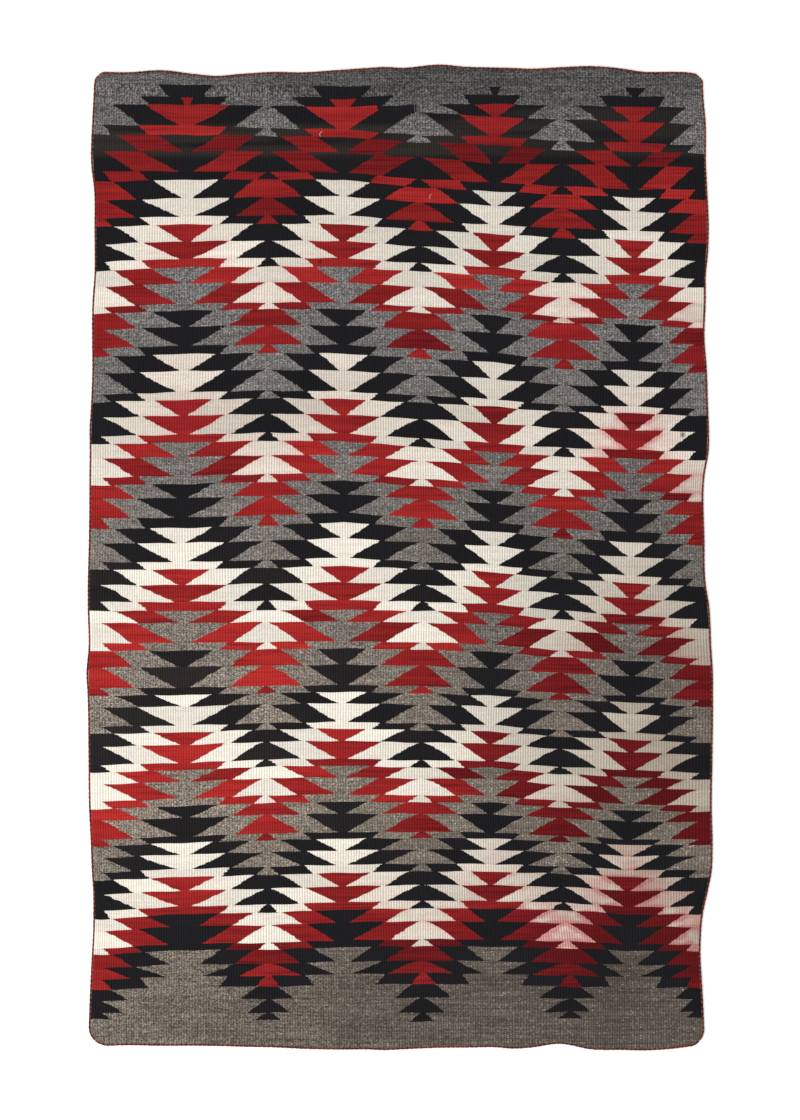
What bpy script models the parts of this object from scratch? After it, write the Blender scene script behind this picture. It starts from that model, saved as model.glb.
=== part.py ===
"""Tapestry-woven wool rug: a flat weft-faced cloth with raised warp ribs and a corded selvage on all four sides.

Units are metres, +Z is up. The rug lies flat, its long way along Y, with its underside on Z = 0.
"""

import bpy
import bmesh
import numpy as np
from mathutils import Vector

MM = 0.001

# Driving dimensions of the woven field
FIELD_WIDTH = 1.000
FIELD_LENGTH = 1.586
RIB_COUNT = 236
RIB_PITCH = FIELD_WIDTH / RIB_COUNT
GROOVE_HEIGHT = 3.5 * MM
CROWN_HEIGHT = 4.6 * MM

# The outer ribs on each side bend with the edge, and the ribs between them run straight
BENT_RIBS = 8
BENT_WIDTH = BENT_RIBS * RIB_PITCH
STRAIGHT_STEPS = 3

# Selvage cords
CORD_DIAMETER = 3.2 * MM
CORD_SIDES_LEVEL = 2
CLEARANCE = 0.3 * MM
CORD_END_SETBACK = 0.6 * MM

# Places along an edge, closer together where it turns into a corner
CORNER_STATIONS = (0.0, 1.5 * MM, 3.0 * MM, 5.0 * MM, 8.0 * MM, 12.0 * MM, 17.0 * MM)
SIDE_SPACING = 29.0 * MM
END_SPACING = 16.0 * MM

# How far each side edge bulges outwards, in millimetres, by height above the bottom edge
SIDE_BULGES = (
    # up, left, right
    (0, 4.0, -6.0),
    (36, 3.4, -6.8),
    (107, 0.7, -10.4),
    (143, -1.1, -12.4),
    (179, -3.2, -11.9),
    (215, -3.9, -8.6),
    (251, -3.5, -0.8),
    (287, -1.3, 5.9),
    (322, 0.0, 7.2),
    (394, 3.3, 5.7),
    (466, 4.0, 6.9),
    (573, 5.6, 7.9),
    (609, 7.2, 7.5),
    (645, 4.0, 5.2),
    (717, 5.3, 1.4),
    (752, 5.2, -4.0),
    (824, 3.3, -6.1),
    (932, 2.4, -5.5),
    (967, 2.0, 0.6),
    (1003, 2.3, 1.2),
    (1039, 0.2, -0.2),
    (1111, -2.3, -2.9),
    (1147, -1.9, -5.8),
    (1218, -2.9, -4.1),
    (1254, -5.8, -4.0),
    (1290, -6.2, -0.4),
    (1326, -5.7, 0.9),
    (1397, -5.0, -1.8),
    (1433, -0.7, -3.5),
    (1505, -2.1, -4.2),
    (1541, -4.0, -7.4),
    (1586, -6.0, -9.0),
)

# How far each end edge bulges outwards, in millimetres, by distance from the left edge
END_BULGES = (
    # across, bottom, top
    (0, -1.0, -2.0),
    (59, -3.2, -3.0),
    (111, -2.3, 0.2),
    (163, -2.5, -5.5),
    (202, -2.0, -9.0),
    (241, -0.8, -5.8),
    (293, 0.2, -2.6),
    (345, 2.7, -3.1),
    (397, 3.9, 0.4),
    (450, 3.6, 4.1),
    (476, 4.7, 5.5),
    (502, 3.5, 4.2),
    (567, 1.0, 9.4),
    (606, 0.7, 6.1),
    (658, 0.1, 4.6),
    (684, 2.2, 4.0),
    (710, 1.0, 2.8),
    (762, -5.4, 5.2),
    (814, 3.6, 6.9),
    (866, 4.4, 2.4),
    (893, 5.2, -1.9),
    (945, 2.5, -2.4),
    (971, -0.8, -3.2),
    (1000, -2.0, -6.0),
)

# How far each rounded corner lies inside a sharp one, in millimetres, along both edges
CORNER_DEPTHS = {
    "bottom_left": 10.0,
    "bottom_right": 8.0,
    "top_left": 7.0,
    "top_right": 4.0,
}

# On which hand the outside lies, going along each edge to the right or upwards
OUTWARD = {"left": -1.0, "right": 1.0, "bottom": 1.0, "top": -1.0}

FINISHES = {
    # colour, roughness
    "heather_wool": ((0.115, 0.105, 0.098, 1.0), 0.92),
    "red_wool_cord": ((0.330, 0.040, 0.022, 1.0), 0.88),
}


def clear_scene():
    """Remove every object, so the model starts from an empty scene."""
    for item in list(bpy.data.objects):
        bpy.data.objects.remove(item, do_unlink=True)


def through(rows, column, at):
    """Read one column of a table at a place between its rows, on a smooth curve through them."""
    places = np.array([row[0] for row in rows], float) * MM
    values = np.array([row[column] for row in rows], float) * MM
    slopes = np.gradient(values, places)
    at = float(np.clip(at, places[0], places[-1]))
    i = int(np.clip(np.searchsorted(places, at) - 1, 0, len(places) - 2))
    span = places[i + 1] - places[i]
    t = (at - places[i]) / span
    start = (1 + 2 * t) * (1 - t) ** 2 * values[i] + t * (1 - t) ** 2 * span * slopes[i]
    finish = t * t * (3 - 2 * t) * values[i + 1] + t * t * (t - 1) * span * slopes[i + 1]
    return start + finish


def corner_pull(corner, distance):
    """Give how far an edge is drawn in at this distance from its rounded corner."""
    depth = CORNER_DEPTHS[corner] * MM
    return depth * max(0.0, 1.0 - distance / (2.0 * depth)) ** 2


def side_bulge(side, up):
    """Give how far a side edge stands out at this height, corners included."""
    column = 1 if side == "left" else 2
    drawn_in = corner_pull("bottom_" + side, up) + corner_pull("top_" + side, FIELD_LENGTH - up)
    return through(SIDE_BULGES, column, up) - drawn_in


def stations(length, spacing):
    """List places along an edge, from one corner to the other."""
    middle = length - 2 * CORNER_STATIONS[-1]
    steps = round(middle / spacing)
    inner = [CORNER_STATIONS[-1] + middle * i / steps for i in range(1, steps)]
    return list(CORNER_STATIONS) + inner + [length - s for s in reversed(CORNER_STATIONS)]


SIDE_STATIONS = stations(FIELD_LENGTH, SIDE_SPACING)
END_STATIONS = stations(FIELD_WIDTH, END_SPACING)


def end_curve(end):
    """Give how far an end edge stands out at each of its stations, corners included."""
    column = 1 if end == "bottom" else 2
    bulges = []
    for across in END_STATIONS:
        from_right = FIELD_WIDTH - across
        drawn_in = corner_pull(end + "_left", across) + corner_pull(end + "_right", from_right)
        bulges.append(through(END_BULGES, column, across) - drawn_in)
    return bulges


END_CURVES = {end: end_curve(end) for end in ("bottom", "top")}


def end_bulge(end, across):
    """Give how far an end edge stands out here, on straight stretches that its cord follows too."""
    return float(np.interp(across, END_STATIONS, END_CURVES[end]))


def place(across, up):
    """Give the X and Y of a point of the cloth from its distance from the left and bottom edges."""
    left_share = max(0.0, 1.0 - across / BENT_WIDTH)
    right_share = max(0.0, 1.0 - (FIELD_WIDTH - across) / BENT_WIDTH)
    x = across - FIELD_WIDTH / 2
    x += right_share * side_bulge("right", up) - left_share * side_bulge("left", up)
    y = up - FIELD_LENGTH / 2
    y += (up / FIELD_LENGTH) * end_bulge("top", across)
    y -= (1.0 - up / FIELD_LENGTH) * end_bulge("bottom", across)
    return x, y


def edge_points(edge):
    """List the X and Y of the stations along one edge of the field."""
    if edge == "left":
        return [place(0.0, up) for up in SIDE_STATIONS]
    if edge == "right":
        return [place(FIELD_WIDTH, up) for up in SIDE_STATIONS]
    if edge == "bottom":
        return [place(across, 0.0) for across in END_STATIONS]
    return [place(across, FIELD_LENGTH) for across in END_STATIONS]


def outline_centre():
    """Find the middle of the field's outline, which the model is centred on."""
    points = np.array([point for edge in OUTWARD for point in edge_points(edge)])
    return (points.min(0) + points.max(0)) / 2


def wool(name):
    """Make a matt wool material from the table of finishes."""
    colour, roughness = FINISHES[name]
    material = bpy.data.materials.new(name)
    material.use_nodes = True
    shader = material.node_tree.nodes["Principled BSDF"]
    shader.inputs["Base Color"].default_value = colour
    shader.inputs["Roughness"].default_value = roughness
    shader.inputs["Metallic"].default_value = 0.0
    material.diffuse_color = colour
    return material


def rib_columns():
    """List the columns of points across the cloth, a groove and a crown by turns, with each one's heights."""
    coarse = [FIELD_LENGTH * i / STRAIGHT_STEPS for i in range(STRAIGHT_STEPS + 1)]
    columns = []
    for half_rib in range(2 * RIB_COUNT + 1):
        across = half_rib * RIB_PITCH / 2
        bent = min(half_rib, 2 * RIB_COUNT - half_rib) <= 2 * BENT_RIBS
        height = CROWN_HEIGHT if half_rib % 2 else GROOVE_HEIGHT
        columns.append((across, SIDE_STATIONS if bent else coarse, height))
    return columns


def join_columns(mesh, left, right):
    """Fill the strip between two columns of (height, point) pairs that may differ in number."""
    i = j = 0
    while i < len(left) - 1 or j < len(right) - 1:
        even = i < len(left) - 1 and j < len(right) - 1 and left[i + 1][0] == right[j + 1][0]
        if even:
            mesh.faces.new((left[i][1], right[j][1], right[j + 1][1], left[i + 1][1]))
            i += 1
            j += 1
        elif j == len(right) - 1 or (i < len(left) - 1 and left[i + 1][0] < right[j + 1][0]):
            mesh.faces.new((left[i][1], right[j][1], left[i + 1][1]))
            i += 1
        else:
            mesh.faces.new((left[i][1], right[j][1], right[j + 1][1]))
            j += 1


def woven_field(centre):
    """Make the cloth as one solid: ribbed on top, flat underneath, with its uneven outline."""
    mesh = bmesh.new()
    columns = []
    for across, heights, z in rib_columns():
        column = []
        for up in heights:
            x, y = place(across, up)
            column.append((up, mesh.verts.new((x - centre[0], y - centre[1], z))))
        columns.append(column)
    for left, right in zip(columns, columns[1:]):
        join_columns(mesh, left, right)
    rim = [column[0][1] for column in columns]
    rim += [point for _, point in columns[-1][1:]]
    rim += [column[-1][1] for column in reversed(columns[:-1])]
    rim += [point for _, point in reversed(columns[0][1:-1])]
    foot = [mesh.verts.new((point.co.x, point.co.y, 0.0)) for point in rim]
    for i in range(len(rim)):
        after = (i + 1) % len(rim)
        mesh.faces.new((foot[i], foot[after], rim[after], rim[i]))
    mesh.faces.new(list(reversed(foot)))
    data = bpy.data.meshes.new("woven_field")
    mesh.to_mesh(data)
    mesh.free()
    data.materials.append(wool("heather_wool"))
    field = bpy.data.objects.new("woven_field", data)
    bpy.context.collection.objects.link(field)
    return field


def cord_route(edge, centre):
    """List the points of a selvage cord, just outside its edge of the field and just off the floor."""
    edge_line = [Vector((x - centre[0], y - centre[1], 0.0)) for x, y in edge_points(edge)]
    reach = CORD_DIAMETER / 2 + CLEARANCE
    route = []
    for i, point in enumerate(edge_line):
        before = edge_line[max(i - 1, 0)]
        after = edge_line[min(i + 1, len(edge_line) - 1)]
        along = (after - before).normalized()
        away = Vector((along.y, -along.x, 0.0)) * OUTWARD[edge]
        route.append(point + away * reach + Vector((0.0, 0.0, reach)))
    for end, inner in ((0, 1), (-1, -2)):
        route[end] += (route[inner] - route[end]).normalized() * CORD_END_SETBACK
    return route


def selvage_cord(name, edge, material, centre):
    """Make one selvage cord as a closed round tube along its edge."""
    curve = bpy.data.curves.new(name, "CURVE")
    curve.dimensions = "3D"
    curve.bevel_depth = CORD_DIAMETER / 2
    curve.bevel_resolution = CORD_SIDES_LEVEL
    curve.use_fill_caps = True
    route = cord_route(edge, centre)
    line = curve.splines.new("POLY")
    line.points.add(len(route) - 1)
    for point, spot in zip(line.points, route):
        point.co = (*spot, 1.0)
    line.use_smooth = True
    curve.materials.append(material)
    cord = bpy.data.objects.new(name, curve)
    bpy.context.collection.objects.link(cord)
    return cord


def main():
    clear_scene()
    centre = outline_centre()
    woven_field(centre)
    cord_wool = wool("red_wool_cord")
    selvage_cord("side_cord_left", "left", cord_wool, centre)
    selvage_cord("side_cord_right", "right", cord_wool, centre)
    selvage_cord("end_cord_bottom", "bottom", cord_wool, centre)
    selvage_cord("end_cord_top", "top", cord_wool, centre)


main()
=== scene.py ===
"""Dresses a flat tapestry-woven wool rug: the ribbed cloth with its serrated zigzags, four twisted selvage
cords, a few loose fibres, and a plain pale stage. Sizes are metres, +Z is up, and the rug lies along Y."""

import math

import bpy
import numpy as np
from bpy.props import FloatProperty, FloatVectorProperty, IntProperty, PointerProperty
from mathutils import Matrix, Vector


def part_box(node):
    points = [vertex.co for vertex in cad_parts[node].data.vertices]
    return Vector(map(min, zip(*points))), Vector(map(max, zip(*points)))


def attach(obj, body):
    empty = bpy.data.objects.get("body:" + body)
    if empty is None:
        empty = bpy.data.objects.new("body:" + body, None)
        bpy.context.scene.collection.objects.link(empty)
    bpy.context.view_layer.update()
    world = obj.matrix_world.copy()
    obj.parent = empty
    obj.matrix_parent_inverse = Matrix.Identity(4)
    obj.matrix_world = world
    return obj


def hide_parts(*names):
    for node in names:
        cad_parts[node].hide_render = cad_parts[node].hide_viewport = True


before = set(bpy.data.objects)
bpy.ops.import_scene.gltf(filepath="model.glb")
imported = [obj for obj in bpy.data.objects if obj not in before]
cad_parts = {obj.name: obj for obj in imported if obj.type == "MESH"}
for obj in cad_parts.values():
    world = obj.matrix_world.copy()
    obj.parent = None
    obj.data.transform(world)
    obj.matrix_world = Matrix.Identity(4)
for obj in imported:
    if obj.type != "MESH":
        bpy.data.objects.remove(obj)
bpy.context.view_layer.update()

bl_info = {
    "name": "Woven wool rug",
    "version": (1, 0, 0),
    "blender": (4, 5, 0),
    "location": "3D View > Sidebar > Rug",
    "description": "Builds a hand-woven wool rug with a serrated zigzag pattern",
    "category": "Add Mesh",
}

MM = 0.001

# The cloth, as the frame has it
FIELD_WIDTH = 1.000
FIELD_LENGTH = 1.586
RIB_COUNT = 236
RIB_PITCH = FIELD_WIDTH / RIB_COUNT
BENT_WIDTH = 8 * RIB_PITCH
EDGE_ROLL = 4.0 * MM

# The selvage cords: the gap to the cloth, the way out of the cloth at each edge, and the nodes they stand for
CORD_DIAMETER = 3.2 * MM
CLEARANCE = 0.1 * MM
CORD_SPACING = 1.5 * MM
OUTWARD = {"left": -1.0, "right": 1.0, "bottom": 1.0, "top": -1.0}
CORD_NODES = {
    "left": "side_cord_left",
    "right": "side_cord_right",
    "bottom": "end_cord_bottom",
    "top": "end_cord_top",
}

# Points across each rib, as shares of its width, and their heights: first in the groove, then on the rib
UPPER_RIB = ((0.0, 3.5 * MM), (0.28, 4.6 * MM), (0.72, 4.6 * MM))
LOWER_RIB = ((0.0, 1.0 * MM), (0.5, 0.0))
UPPER_EDGE = 2.8 * MM
LOWER_EDGE = 1.2 * MM

# How far each side edge bulges outwards, in millimetres, by height above the bottom edge
SIDE_BULGES = (
    # up, left, right
    (0, 4.0, -6.0),
    (36, 3.4, -6.8),
    (107, 0.7, -10.4),
    (143, -1.1, -12.4),
    (179, -3.2, -11.9),
    (215, -3.9, -8.6),
    (251, -3.5, -0.8),
    (287, -1.3, 5.9),
    (322, 0.0, 7.2),
    (394, 3.3, 5.7),
    (466, 4.0, 6.9),
    (573, 5.6, 7.9),
    (609, 7.2, 7.5),
    (645, 4.0, 5.2),
    (717, 5.3, 1.4),
    (752, 5.2, -4.0),
    (824, 3.3, -6.1),
    (932, 2.4, -5.5),
    (967, 2.0, 0.6),
    (1003, 2.3, 1.2),
    (1039, 0.2, -0.2),
    (1111, -2.3, -2.9),
    (1147, -1.9, -5.8),
    (1218, -2.9, -4.1),
    (1254, -5.8, -4.0),
    (1290, -6.2, -0.4),
    (1326, -5.7, 0.9),
    (1397, -5.0, -1.8),
    (1433, -0.7, -3.5),
    (1505, -2.1, -4.2),
    (1541, -4.0, -7.4),
    (1586, -6.0, -9.0),
)

# How far each end edge bulges outwards, in millimetres, by distance from the left edge
END_BULGES = (
    # across, bottom, top
    (0, -1.0, -2.0),
    (59, -3.2, -3.0),
    (111, -2.3, 0.2),
    (163, -2.5, -5.5),
    (202, -2.0, -9.0),
    (241, -0.8, -5.8),
    (293, 0.2, -2.6),
    (345, 2.7, -3.1),
    (397, 3.9, 0.4),
    (450, 3.6, 4.1),
    (476, 4.7, 5.5),
    (502, 3.5, 4.2),
    (567, 1.0, 9.4),
    (606, 0.7, 6.1),
    (658, 0.1, 4.6),
    (684, 2.2, 4.0),
    (710, 1.0, 2.8),
    (762, -5.4, 5.2),
    (814, 3.6, 6.9),
    (866, 4.4, 2.4),
    (893, 5.2, -1.9),
    (945, 2.5, -2.4),
    (971, -0.8, -3.2),
    (1000, -2.0, -6.0),
)

# How far each rounded corner lies inside a sharp one, in millimetres, along both edges
CORNER_DEPTHS = {
    "bottom_left": 8.5,
    "bottom_right": 7.0,
    "top_left": 4.7,
    "top_right": 4.0,
}
CORNER_REACH = 3.2

# Pattern columns, by turns the zigzags' high and low points, which lean and wander on their way down
COLUMN_UPS = (107, 250, 466, 824, 1182, 1541)
COLUMNS = (
    # rib, then distance from the left edge in millimetres at each of these heights
    (3, 12.5, 12.5, 12.5, 12.5, 12.5, 12.5),
    (37, 151.5, 151, 151, 144, 151.5, 154.5),
    (67, 286.5, 284.5, 282, 284.5, 287, 283.5),
    (96, 408, 407, 406, 409.5, 408, 408),
    (126, 537.5, 536.5, 535.5, 538, 532, 531),
    (154, 650, 648, 646.5, 653.5, 653, 656),
    (182, 779, 765, 761, 766, 767, 762),
    (207, 876, 871, 876, 877, 880.5, 883),
    (232, 984.5, 985.5, 987, 984.5, 984.5, 984.5),
)

# How much wider than even the slants lie between each two columns, as a share of the gap
SLANT_SPREADS = (0.045, 0.03, 0.01, -0.005, -0.035, -0.03, -0.035, 0.01)

# Colour bands from the top down, each woven as up to three rows, with the rows' heights in millimetres
BANDS = (
    # yarn, first, second, third
    ("black", 18.7, 0.0, 14.3),
    ("red", 0.5, 34.5, 15.5),
    ("black", 28.5, 32.6, 11.4),
    ("ivory", 30.1, 29.3, 13.0),
    ("red", 27.7, 28.0, 14.3),
    ("grey", 26.0, 33.3, 11.2),
    ("black", 26.1, 30.9, 13.8),
    ("ivory", 27.7, 34.2, 12.7),
    ("red", 25.6, 30.9, 13.0),
    ("grey", 23.6, 30.9, 13.0),
    ("black", 22.8, 31.8, 17.1),
    ("ivory", 24.4, 30.9, 12.2),
    ("red", 25.2, 27.7, 14.7),
    ("grey", 19.5, 32.6, 12.4),
    ("black", 26.7, 33.6, 12.1),
    ("ivory", 18.7, 30.9, 11.2),
    ("red", 20.4, 29.3, 11.9),
    ("grey", 18.7, 27.7, 11.9),
    ("black", 19.1, 30.1, 10.6),
    ("ivory", 19.0, 23.6, 13.0),
    ("red", 22.0, 25.8, 12.5),
    ("black", 20.0, 28.5, 10.6),
    ("grey", 22.8, 19.5, 17.1),
    ("grey", 20.4, 22.8, 12.4),
)
TOP_MARGIN = 19.8 * MM
BOTTOM_MARGIN = FIELD_LENGTH - TOP_MARGIN - sum(sum(band[1:]) for band in BANDS) * MM
LAST_ROW = 3 * len(BANDS) + 3
LEAST_ROW = 2.0 * MM

# Lines across the plain margins, in millimetres inside the top edge and the bottom edge
TOP_LINES = (0.0, 4.0, 9.0, 14.0)
BOTTOM_LINES = (22.0, 15.0, 9.0, 4.0, 0.0)

# The furthest that a place of a changed row may lie from its column, so that it stays in that column's step
MOST_OFF = 0.98

# The first two black rows, which differ from one low column to the next
FIRST_ROW = 3
SECOND_ROW = 5
FIRST_ROWS = (
    # low column, first row's share of a full row's shape at its top and foot, and both rows' widths
    (2, 0.00, 0.40, 0.92, 1.00),
    (4, 0.00, 0.40, 1.20, 1.42),
    (6, 0.00, 0.80, 0.30, 0.88),
    (8, 0.00, 0.80, 0.50, 1.00),
)

# The small red points in the second black row, which begin below its top and narrow towards its foot
POINTS = (
    # low column, half-width
    (2, 0.065),
    (4, 0.135),
)
POINT_TOP = 0.15
POINT_NARROWING = 0.55

# The first red row, which is woven only from this pattern column on: before it, the next row takes its place
SPLIT_ROW = 6
SPLIT_FROM = 5.0

# The row whose steps left of the first low column are narrower
NARROW_ROW = 7
NARROW_WIDTH = 0.87
FIRST_LOW_COLUMN = 2.0

# How far each pattern column's rows have sunk, in millimetres, against those of the second column
ROW_DRIFTS = (
    # row, then one drift for each pattern column from the left
    (3, 0, 1.0, 1.5, 3.5, 4, 4, 5, 5.5, 7),
    (5, 1.5, 1.5, 1.5, 3.5, -2, -1.5, 0, 1, 3),
    (6, 0.3, 0.3, 1.8, 4.8, 0, -0.5, 2, 4.5, 5),
    (7, 0, 0, 1.5, 4.5, 12.5, 20, 24, 28, 32),
    (8, -1, -1, 4, 5.5, 15.5, 17, 25, 27.5, 32),
    (9, -1, -1, 1, 2.5, 11.5, 15, 24.5, 26, 29.5),
    (10, -2.5, -2.5, -3, -1, 7.5, 17.5, 18.5, 22, 23.5),
    (11, -2.5, -2.5, -1.5, -1, 10.5, 15.5, 22, 27, 27),
    (12, 3, 0, -1, 0, 12.5, 19, 24, 29, 32.5),
    (13, 3.5, 0, -2, -3.5, 6.5, 12, 16.5, 21.5, 25.5),
    (15, 4.5, 0, -1, -0.5, 9.5, 15.5, 22.5, 26, 31.5),
    (18, 6.5, 0, -1, -1, 7, 13.5, 26, 27, 33.5),
    (21, 5.5, 0, -2.5, -2.5, 3.5, 8, 20.5, 23, 29),
    (24, 5, 0, -2, -0.5, 7, 13.5, 24.5, 27, 31),
    (27, 4, 0, -2.5, -1.5, 5, 11, 20, 22, 26),
    (30, 3, 0, -3, -2, 7.5, 15.5, 23, 26, 29),
    (36, 1.5, 0, -4, -9.5, 0, 5.5, 17, 23.5, 28),
    (42, 0, 0, -1, -2, 0, 3, 14, 21.5, 28.5),
    (48, 1.5, 0, -3, -5, -2.5, 1, 8, 12, 19.5),
    (54, 4, 0, -6, -7.5, -4, -4.5, 6.5, 11.5, 15.5),
    (60, 6.5, 0, -4, -6.5, -7.5, -7, -1.5, 4, 3.5),
    (63, 6.5, 0, -3, -6.5, -9, -8.5, -5, 1, 1.5),
    (66, 9.5, 0, -2, -7, -9, -8.5, -6, 1, 1),
    (72, 6, 0, 0, -2.5, -4.5, -3, 0, 1.5, 2),
    (75, -3, 0, -1, 0, 1.5, 0, -3.5, -4, -5),
)

# Each row's slanted edges, as shares of the way from a low column to the next high one, and how they curve
ROW_SHAPES = (
    # inner edge at the row's top and bottom, outer edge at its top and bottom
    (0.33, 0.04, 0.82, 0.52),
    (0.48, 0.07, 0.965, 0.55),
    (0.49, 0.38, 0.975, 0.845),
)
INNER_CURVE = 1.05
OUTER_CURVE = 0.85

# The last two grey rows, whose black steps round the high columns are narrower
LAST_ROWS = ((72, 0.76), (73, 0.66))

# Rows whose middles are wider, with the widening at each low column, as a share of the way to the high one
WIDE_ROWS = (66, 67, 68, 69, 70)
WIDENINGS = ((2, 0.13), (4, 0.05), (6, 0.06), (8, 0.06))

# Colours of the yarn lookup: its steps in all, and the plain grey ones before the first band
YARN_STEPS = 32
PLAIN_STEPS = 3

# Red dye that has run into the ivory
DYE_RUNS = (
    # across, up, half-width, half-height in millimetres, strength
    (880, 985, 110, 90, 1.00),
    (885, 640, 120, 80, 0.90),
    (960, 560, 60, 160, 0.60),
    (870, 265, 150, 110, 1.40),
    (985, 200, 70, 100, 1.80),
    (775, 1195, 100, 70, 0.55),
    (940, 1180, 90, 50, 0.70),
    (975, 905, 70, 70, 0.80),
    (560, 250, 140, 90, 0.45),
    (750, 300, 140, 130, 0.65),
    (260, 1120, 300, 330, 0.30),
    (762, 190, 120, 80, 1.80),
)

# Painted shade on the ivory: patches darkened towards grey where less light falls, the strongest on the right
PAINTED_IVORY_SHADE = (
    # across, up, half-width, half-height in millimetres, strength
    (1000, 480, 480, 560, 0.85),
    (560, 160, 380, 220, 0.35),
    (120, 200, 260, 200, 0.14),
    (820, 1300, 620, 360, 0.20),
    (380, 1030, 1100, 150, 0.33),
)

# Reds darker in places: partly a deeper dye bath, partly painted shade where less light falls, the strongest
# at the lower right
DEEP_REDS_AND_PAINTED_SHADE = (
    # across, up, half-width, half-height in millimetres, strength
    (960, 400, 480, 520, 0.85),
    (500, 120, 600, 220, 0.40),
    (890, 150, 330, 220, 0.95),
    (960, 1100, 320, 400, 0.25),
    (560, 1080, 420, 130, 0.22),
    (700, 1450, 560, 110, 0.24),
)

# Reds brighter in places: partly dye that has kept its strength, partly painted light, the strongest at the
# lower left where the light is strongest
STRONG_REDS_AND_PAINTED_LIGHT = (
    # across, up, half-width, half-height in millimetres, strength
    (90, 560, 460, 360, 0.55),
    (820, 1390, 300, 90, 0.25),
    (520, 1400, 300, 60, 0.22),
)

# Greys darker in places: partly more dark wool, partly painted shade where less light falls, at the top, the
# bottom and the right
DARK_GREYS_AND_PAINTED_SHADE = (
    # across, up, half-width, half-height in millimetres, strength
    (650, 1575, 800, 80, 1.15),
    (780, 60, 820, 250, 1.00),
    (800, 110, 300, 160, 1.20),
    (860, 700, 440, 440, 0.28),
    (560, 1060, 380, 160, 0.14),
)

# Greys that are carded more evenly, with a few pale flecks
SMOOTH_GREYS = (
    # across, up, half-width, half-height in millimetres, strength
    (880, 260, 760, 700, 0.55),
    (480, 960, 900, 420, 0.35),
)

# Greys lighter in places: partly more pale wool, partly painted light, the strongest at the lower left where
# the light is strongest
LIGHT_GREYS_AND_PAINTED_LIGHT = (
    # across, up, half-width, half-height in millimetres, strength
    (120, 520, 480, 420, 1.00),
    (500, 1380, 700, 120, 0.25),
)

# Small dark stains
DARK_SPOTS = (
    # across, up, half-width, half-height in millimetres, strength
    (961, 995, 5, 6, 0.75),
    (371, 1277, 4, 4, 0.55),
    (130, 30, 7, 6, 0.35),
    (640, 120, 5, 4, 0.30),
)

# Loose pale fibres: place and length in millimetres, and turn in degrees
FIBRE_RADIUS = 0.25 * MM
FIBRE_HEIGHT = 5.3 * MM
FIBRE_POINTS = 15
FIBRE_SIDES = 5
FIBRES = (
    # across, up, length, turn
    (373, 1485, 9, 65),
    (551, 1383, 8, 80),
    (213, 1166, 11, -30),
    (757, 303, 15, 60),
    (742, 296, 9, -20),
    (467, 905, 7, 15),
)

# The rim of the cloth: floats of yarn in a strip, rows at the two ends, and triangles at the end of each rib
RIM_FLOATS = 8.0
RIM_ROWS = (0.2, LAST_ROW + 1.8)
RIM_TRIANGLES = 5

# The floor's size, and how far the camera hangs off the rug's middle and above its face
FLOOR_SIZE = 30.0
CAMERA_OFFSET = (0.6 * MM, -4.0 * MM, 4.6 * MM)

YARN_MASKS = {
    "grey": (0.0, 0.0, 0.0, 1.0),
    "red": (1.0, 0.0, 0.0, 1.0),
    "ivory": (0.0, 1.0, 0.0, 1.0),
    "black": (0.0, 0.0, 1.0, 1.0),
}


def through_places(places, values, at):
    """Read a table at places between its rows, on a smooth curve through them."""
    slopes = np.gradient(values, places)
    at = np.clip(np.asarray(at, float), places[0], places[-1])
    i = np.clip(np.searchsorted(places, at) - 1, 0, len(places) - 2)
    span = places[i + 1] - places[i]
    t = (at - places[i]) / span
    start = (1 + 2 * t) * (1 - t) ** 2 * values[i] + t * (1 - t) ** 2 * span * slopes[i]
    finish = t * t * (3 - 2 * t) * values[i + 1] + t * t * (t - 1) * span * slopes[i + 1]
    return start + finish


def through(rows, column, at):
    """Read one column of a table in millimetres at places between its rows."""
    places = np.array([row[0] for row in rows], float) * MM
    values = np.array([row[column] for row in rows], float) * MM
    return through_places(places, values, at)


def corner_pull(corner, distance):
    """Give how far an edge is drawn in at this distance from its rounded corner."""
    depth = CORNER_DEPTHS[corner] * MM
    return depth * np.clip(1.0 - distance / (CORNER_REACH * depth), 0.0, None) ** 2


def side_bulge(side, up):
    """Give how far a side edge stands out at this height, corners included."""
    column = 1 if side == "left" else 2
    drawn_in = corner_pull("bottom_" + side, up) + corner_pull("top_" + side, FIELD_LENGTH - up)
    return through(SIDE_BULGES, column, up) - drawn_in


def end_bulge(end, across):
    """Give how far an end edge stands out at this distance from the left, corners included."""
    column = 1 if end == "bottom" else 2
    from_right = FIELD_WIDTH - across
    drawn_in = corner_pull(end + "_left", across) + corner_pull(end + "_right", from_right)
    return through(END_BULGES, column, across) - drawn_in


def with_bent_sides(across, up):
    """Give X for points of the cloth, whose outer ribs bend with the side edges."""
    left_share = np.clip(1.0 - across / BENT_WIDTH, 0.0, 1.0)
    right_share = np.clip(1.0 - (FIELD_WIDTH - across) / BENT_WIDTH, 0.0, 1.0)
    x = across - FIELD_WIDTH / 2
    return x + right_share * side_bulge("right", up) - left_share * side_bulge("left", up)


def field_offset():
    """Find how far the field's own middle lies from the frame's origin."""
    low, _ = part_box("woven_field")
    ups = np.linspace(0.0, FIELD_LENGTH, 1500)
    acrosses = np.linspace(0.0, FIELD_WIDTH, 1000)
    left = with_bent_sides(np.zeros_like(ups), ups).min()
    bottom = (-FIELD_LENGTH / 2 - end_bulge("bottom", acrosses)).min()
    return np.array([low[0] - left, low[1] - bottom])


FIELD_OFFSET = field_offset()


def linear(red, green, blue):
    """Turn a screen colour of 0 to 255 into a linear one for a shader."""
    shares = [value / 255 for value in (red, green, blue)]
    return tuple(s / 12.92 if s <= 0.04045 else ((s + 0.055) / 1.055) ** 2.4 for s in shares) + (1.0,)


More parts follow.
